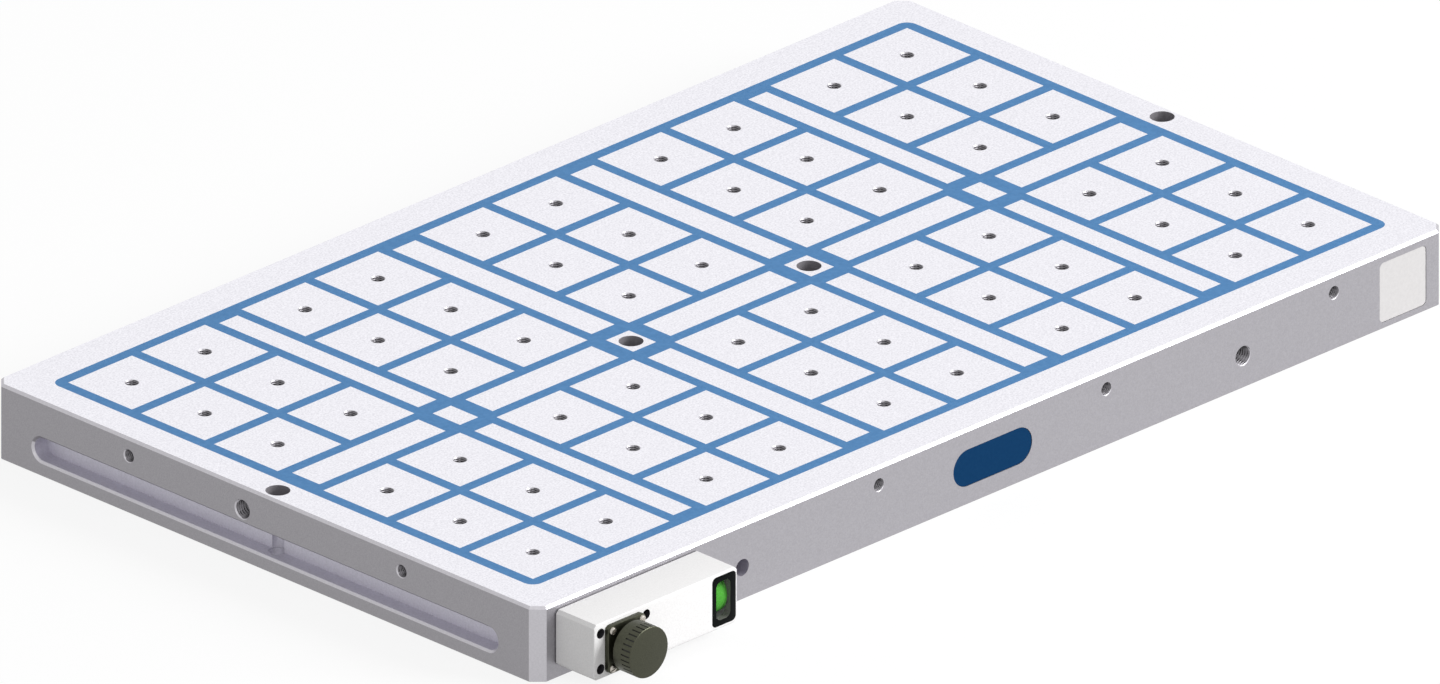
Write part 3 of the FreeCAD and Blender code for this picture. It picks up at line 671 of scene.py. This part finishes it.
# %% Body of the box
RIM_ROUND = 0.9
CHAMFER = 2.0
CHAMFER_SHRINK = 0.586
WALL = 3.0
FRONT_WALL = 4.4
BOSS_HALF = 4.5
BOSS_FRONT = 4.0
HEAD_BORE_R, HEAD_BORE_DEPTH = 3.0, 23.7
SHANK_BORE_R, SHANK_BORE_DEPTH = 1.7, 35
PLUG_BORE_R = 9.2
BEZEL_SIZE = (18.4, 30.4, 3.0)
BEZEL_ROOM = 0.1
CUT_DEPTH = 6

rings = [cut_corners(box_size.x - 2 * inset, box_size.z - 2 * inset,
                     CHAMFER - CHAMFER_SHRINK * inset, z)
         for inset, z in edge_round(RIM_ROUND)]
rings.append(cut_corners(box_size.x, box_size.z, CHAMFER, -box_size.y))
shell = placed(loft(rings), (box_middle.x, face_y, axis_z))
cavity = brick((low.x + WALL, low.y + FRONT_WALL, low.z + WALL),
               (high.x - WALL, high.y + 1, high.z - WALL))
shell = carve(shell, cavity)
for s in screw_places:
    boss = brick((s.x - BOSS_HALF, low.y + BOSS_FRONT, s.z - BOSS_HALF),
                 (s.x + BOSS_HALF, high.y, s.z + BOSS_HALF))
    shell = carve(shell, boss, "UNION")
bores = [placed(turned([(HEAD_BORE_R, 1), (HEAD_BORE_R, -HEAD_BORE_DEPTH),
                        (SHANK_BORE_R, -HEAD_BORE_DEPTH), (SHANK_BORE_R, -SHANK_BORE_DEPTH)], 48),
                (s.x, face_y, s.z)) for s in screw_places]
bores.append(placed(turned([(PLUG_BORE_R, 1), (PLUG_BORE_R, -CUT_DEPTH)], 64),
                    (plug_x, face_y, axis_z)))
width, height, corner = BEZEL_SIZE
bores.append(placed(soft_void(width + 2 * BEZEL_ROOM, height + 2 * BEZEL_ROOM,
                              corner + BEZEL_ROOM, CUT_DEPTH), (bezel_x, face_y, axis_z)))
shell = carve(shell, merged(bores))


def box_finish(centre, normal):
    """The screw bores get painted shade, the rest is white."""
    return int(centre.y > face_y + 0.05 and any(
        math.hypot(centre.x - s.x, centre.z - s.z) < HEAD_BORE_R + 0.2 for s in screw_places))


# Painted shade for the deep screw bores.
painted_bore_shade = grained("shaded_bore", "#2B2A2E", "#35343A", 1.0, 0.0, 0.6)
piece("powder_coated_box", shell, [powder_coat, painted_bore_shade], "chuck",
      ["junction_housing"], box_finish)

# %% [markdown]
# ## Window frame
# A moulded black frame fills the opening. It holds the lens in a slot-shaped window of its
# own, and two cheeks behind it carry the axle of the drum. Each cheek is two arms, above and
# below the axle, joined in front of it, so that the axle can be pressed in from behind.

# %% Window frame
EDGE_ROUND = 0.3
WINDOW_SIZE = (11.0, 23.5, 3.6)
CHEEK_HALF = 6.0
CHEEK_INNER, CHEEK_OUTER = 5.5, 7.1
AXLE_HALF = 1.55
ARM_LENGTH = 8.0

bezel = placed(soft_plate(*BEZEL_SIZE, FRONT_WALL, EDGE_ROUND), (bezel_x, face_y, axis_z))
lens_low, lens_high = (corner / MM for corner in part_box("window_lens"))
window_x = (lens_low.x + lens_high.x) / 2
bezel = carve(bezel, placed(soft_void(*WINDOW_SIZE, CUT_DEPTH), (window_x, face_y, axis_z)))
arms_from = bezel_high.y - ARM_LENGTH
for x0, x1 in ((window_x - CHEEK_OUTER, window_x - CHEEK_INNER),
               (window_x + CHEEK_INNER, window_x + CHEEK_OUTER)):
    for z0, z1 in ((-CHEEK_HALF, -AXLE_HALF), (AXLE_HALF, CHEEK_HALF)):
        arm = brick((x0, arms_from, axis_z + z0), (x1, bezel_high.y, axis_z + z1))
        bezel = carve(bezel, arm, "UNION")
    root = brick((x0, face_y + FRONT_WALL - 0.1, axis_z - CHEEK_HALF),
                 (x1, arms_from + 0.5, axis_z + CHEEK_HALF))
    bezel = carve(bezel, root, "UNION")


def window_finish(centre, normal):
    """The opening's walls are matt and get painted light, the rest is glossy."""
    width, height, corner = WINDOW_SIZE
    inside = (abs(centre.x - window_x) < width / 2 + 0.1
              and abs(centre.z - axis_z) < height / 2 + 0.15)
    return 1 if inside and abs(normal.y) < 0.5 else 0


piece("window_frame", bezel, [black_abs, window_wall], "chuck", ["window_bezel"],
      window_finish)

# %% [markdown]
# ## Connector
# The connector is a round military-style one on a square flange. Its barrel carries a fine
# outer thread that the cap screws on to, made of the same rings as the tapped holes.

# %% Connector shell
FLANGE = 29.0
FLANGE_THICK = 3.0
FLANGE_CORNER = 3.0
BARREL_R = 9.9
BARREL_END = 13.0
BARREL_POINTS = 72
flange_front = (plug_x, face_y - FLANGE_THICK, axis_z)
flange = placed(soft_plate(FLANGE, FLANGE, FLANGE_CORNER, FLANGE_THICK, 0.35), flange_front)
barrel_rings = [circle(BARREL_R, BARREL_END, BARREL_POINTS)]
barrel_rings += thread_rings(10.4, 11.1, 1.27, 12.4, 0.8, BARREL_POINTS)
barrel_rings += [circle(10.3, z, BARREL_POINTS) for z in (0.5, -0.5)]
shell = carve(flange, placed(loft(barrel_rings), flange_front), "UNION")
bore = turned([(PLUG_BORE_R, BARREL_END + 1), (PLUG_BORE_R, -4)], BARREL_POINTS)
shell = carve(shell, placed(bore, flange_front))
piece("connector_body", shell, [olive_plate], "chuck", ["connector_shell"])

# %% [markdown]
# ## Screws
# Four slotted pan head screws hold the flange, and each slot is left at an angle of its own,
# as real screws are. The box is held by socket screws that sit deep in their bores. Heads are
# turned profiles, and the slot or the six-sided socket is cut out of them.

# %% Flange screws
SLOT_HALF_WIDTH = 0.4
SLOT_BOTTOM = 0.8
FIRST_SLOT_TURN, SLOT_TURN_STEP = 20, 47
head = turned([(0.0, 1.6), (1.3, 1.55), (1.9, 1.3), (2.2, 0.8), (2.25, 0.3), (2.25, 0.0),
               (1.35, 0.0), (1.35, -6.2)], 40)
head = carve(head, brick((-3, -SLOT_HALF_WIDTH, SLOT_BOTTOM), (3, SLOT_HALF_WIDTH, 2.5)))
head_places = []
for number, (a, b) in enumerate(solids("flange_screws")):
    spot = ((a.x + b.x) / 2, flange_front[1], (a.z + b.z) / 2)
    turn = Matrix.Rotation(math.radians(FIRST_SLOT_TURN + SLOT_TURN_STEP * number), 4, "Z")
    head_places.append(standing(spot) @ turn)
piece("slotted_screws", copies(head, head_places), [zinc_screw], "chuck", ["flange_screws"])

# %% Housing screws
SOCKET_R, SOCKET_DEPTH = 1.45, 1.6
head = turned([(2.4, 0.0), (2.7, -0.1), (2.9, -0.4), (2.9, -3.0), (1.55, -3.0),
               (1.55, -17.8)], 36)
head = carve(head, turned([(SOCKET_R, 1.0), (SOCKET_R, -SOCKET_DEPTH)], 6))
head_places = [standing(((a.x + b.x) / 2, a.y, (a.z + b.z) / 2)) for a, b in screw_boxes]
piece("socket_screws", copies(head, head_places), [black_oxide], "chuck", ["housing_screws"])

# %% [markdown]
# ## Dust cap
# The cap is turned from bar, with a small round on its front rim. Thirty short grooves for
# grip are milled into the front half, and painted shade darkens them, which is what makes
# them stand out.

# %% Dust cap
CAP_R = 15.15
CAP_BORE_R = 11.2
CAP_END_WALL = 3.0
GROOVES = 30
GROOVE_BED_R = 14.65
GROOVE_HALF_WIDTH = 0.4
GROOVE_ENDS = (-6.8, -0.35)
cap_low, cap_high = (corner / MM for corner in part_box("dust_cap"))
cap_length = cap_high.y - cap_low.y
cap = turned([(0.0, 0.0), (14.6, 0.0), (14.85, -0.05), (15.08, -0.25), (CAP_R, -0.5),
              (CAP_R, 0.4 - cap_length), (CAP_R - 0.4, -cap_length),
              (CAP_BORE_R + 0.4, -cap_length), (CAP_BORE_R, 0.4 - cap_length),
              (CAP_BORE_R, -CAP_END_WALL), (0.0, -CAP_END_WALL)], 180)
groove = brick((GROOVE_BED_R, -GROOVE_HALF_WIDTH, GROOVE_ENDS[0]),
               (16.0, GROOVE_HALF_WIDTH, GROOVE_ENDS[1]))
turns = [2 * math.pi * (number + 0.5) / GROOVES for number in range(GROOVES)]
cap = carve(cap, copies(groove, [Matrix.Rotation(turn, 4, "Z") for turn in turns]))


def cap_finish(centre, normal):
    """Painted shade darkens the grip grooves."""
    radius = math.hypot(centre.x - plug_x, centre.z - axis_z)
    along = centre.y - cap_low.y
    return int(radius < CAP_R - 0.2 and 0.1 < along < 0.1 - GROOVE_ENDS[0]
               and abs(normal.y) < 0.9)


# Painted shade in the grip grooves.
groove_shade = grained("painted_groove_shade", "#141510", "#1A1B16", 0.7, 0.0, 0.6)
piece("knurled_dust_cap", placed(cap, (plug_x, cap_low.y, axis_z)), [olive_plate, groove_shade],
      "cap", ["dust_cap"], cap_finish)

# %% [markdown]
# ## Finishes for the CAD nodes that stay
# The resin, the two plates, the seal, the drum and everything inside keep their CAD meshes,
# which have the right shape already. They get the finishes above.

# %% Materials on CAD nodes
stays = {
    "groove_resin": blue_epoxy, "badge_plate": navy_enamel, "label_plate": white_film,
    "housing_seal": nitrile, "cap_seal": nitrile, "connector_insert": neoprene,
    "contact_pins": gold_plate, "window_lens": clear_lens, "indicator_drum": drum_plastic,
    "indicator_axle": ground_pin, "indicator_magnet": nickel_magnet,
    "alnico_magnets": cast_alnico, "coil_blocks": potting, "side_magnets": nickel_magnet,
    "lead_bundle": sleeve,
}
for node, material in stays.items():
    for slot in frame["nodes"][node].material_slots:
        slot.link = "OBJECT"
        slot.material = material
print(len(stays), "CAD nodes dressed")

# %% [markdown]
# ## Floor and world
# The object stands on a plain white floor in a white room. Both are white to the camera and
# in reflections and transmission, which keeps the steel bright. To scattered light the floor
# is a mid tone and the room half as bright, so that the sides of the plate aren't lit too
# strongly and the shapes stay readable. The kind of ray decides, in one helper for both.

# %% Rays that see white
def seen_rays(tree):
    """A socket that is 1 for camera, glossy and transmission rays and 0 for the rest."""
    path = add_node(tree, "ShaderNodeLightPath").outputs
    direct = add_node(tree, "ShaderNodeMath", operation="ADD",
                      links={0: path["Is Camera Ray"], 1: path["Is Glossy Ray"]})
    seen = add_node(tree, "ShaderNodeMath", operation="ADD", use_clamp=True,
                    links={0: direct.outputs[0], 1: path["Is Transmission Ray"]})
    return seen.outputs[0]


# %% Floor
FLOOR_HALF = 6.0
FLOOR_GLOW = 0.85
WHITE = linear("#FFFFFF")
floor_mesh = bpy.data.meshes.new("floor")
floor_bm = bmesh.new()
bmesh.ops.create_grid(floor_bm, x_segments=1, y_segments=1, size=FLOOR_HALF)
floor_bm.to_mesh(floor_mesh)
floor_bm.free()
floor = bpy.data.objects.new("floor", floor_mesh)
bpy.context.scene.collection.objects.link(floor)
floor_material = bpy.data.materials.new("studio_floor")
floor_material.use_nodes = True
tree = floor_material.node_tree
shader = tree.nodes["Principled BSDF"]
shader.inputs["Roughness"].default_value = 0.9
shader.inputs["Specular IOR Level"].default_value = 0.0
seen = seen_rays(tree)
tone = add_node(tree, "ShaderNodeValToRGB", links={"Fac": seen},
                stops=[(0.0, "#BDBDBD"), (1.0, "#FDFDFD")])
tree.links.new(tone.outputs["Color"], shader.inputs["Base Color"])
glow = add_node(tree, "ShaderNodeEmission", {"Color": WHITE, "Strength": 1.0})
share = add_node(tree, "ShaderNodeMath", {1: FLOOR_GLOW}, {0: seen}, operation="MULTIPLY")
both = add_node(tree, "ShaderNodeMixShader", links={0: share.outputs[0], 1: shader.outputs[0],
                                                    2: glow.outputs[0]})
tree.links.new(both.outputs[0], tree.nodes["Material Output"].inputs["Surface"])
floor_mesh.materials.append(floor_material)
print("floor of", 2 * FLOOR_HALF, "m, glowing by", FLOOR_GLOW, "to the rays that see white")

# %% World
ROOM_LIGHT = 0.5
world = bpy.data.worlds.new("studio")
bpy.context.scene.world = world
world.use_nodes = True
tree = world.node_tree
tree.nodes.clear()
room = add_node(tree, "ShaderNodeBackground", {"Color": WHITE, "Strength": ROOM_LIGHT})
white = add_node(tree, "ShaderNodeBackground", {"Color": WHITE, "Strength": 1.0})
both = add_node(tree, "ShaderNodeMixShader", links={0: seen_rays(tree), 1: room.outputs[0],
                                                    2: white.outputs[0]})
add_node(tree, "ShaderNodeOutputWorld", links={"Surface": both.outputs[0]})
print("room light", ROOM_LIGHT)

# %% [markdown]
# ## Lamps
# A large soft lamp stands on the right, rather low, so that it lights the long side and
# rakes over the top. A weak one fills from the camera's side. Big discs far away give the
# soft, wide shadows of a catalogue picture.

# %% Lamps
LAMP_AWAY = 6.0
LAMP_SIZE = 3.2


def softbox(name, direction, watts):
    """A round soft lamp that stands in that direction and looks at the chuck."""
    lamp = bpy.data.lights.new(name, "AREA")
    lamp.shape = "DISK"
    lamp.size = LAMP_SIZE
    lamp.energy = watts
    obj = bpy.data.objects.new(name, lamp)
    away = Vector(direction).normalized()
    obj.location = away * LAMP_AWAY
    obj.rotation_euler = away.to_track_quat("Z", "Y").to_euler()
    bpy.context.scene.collection.objects.link(obj)
    print(name, "lamp of", watts, "W")


softbox("key", (0.64, -0.85, 0.55), 370)
softbox("fill", (-0.5, -0.7, 0.6), 38)
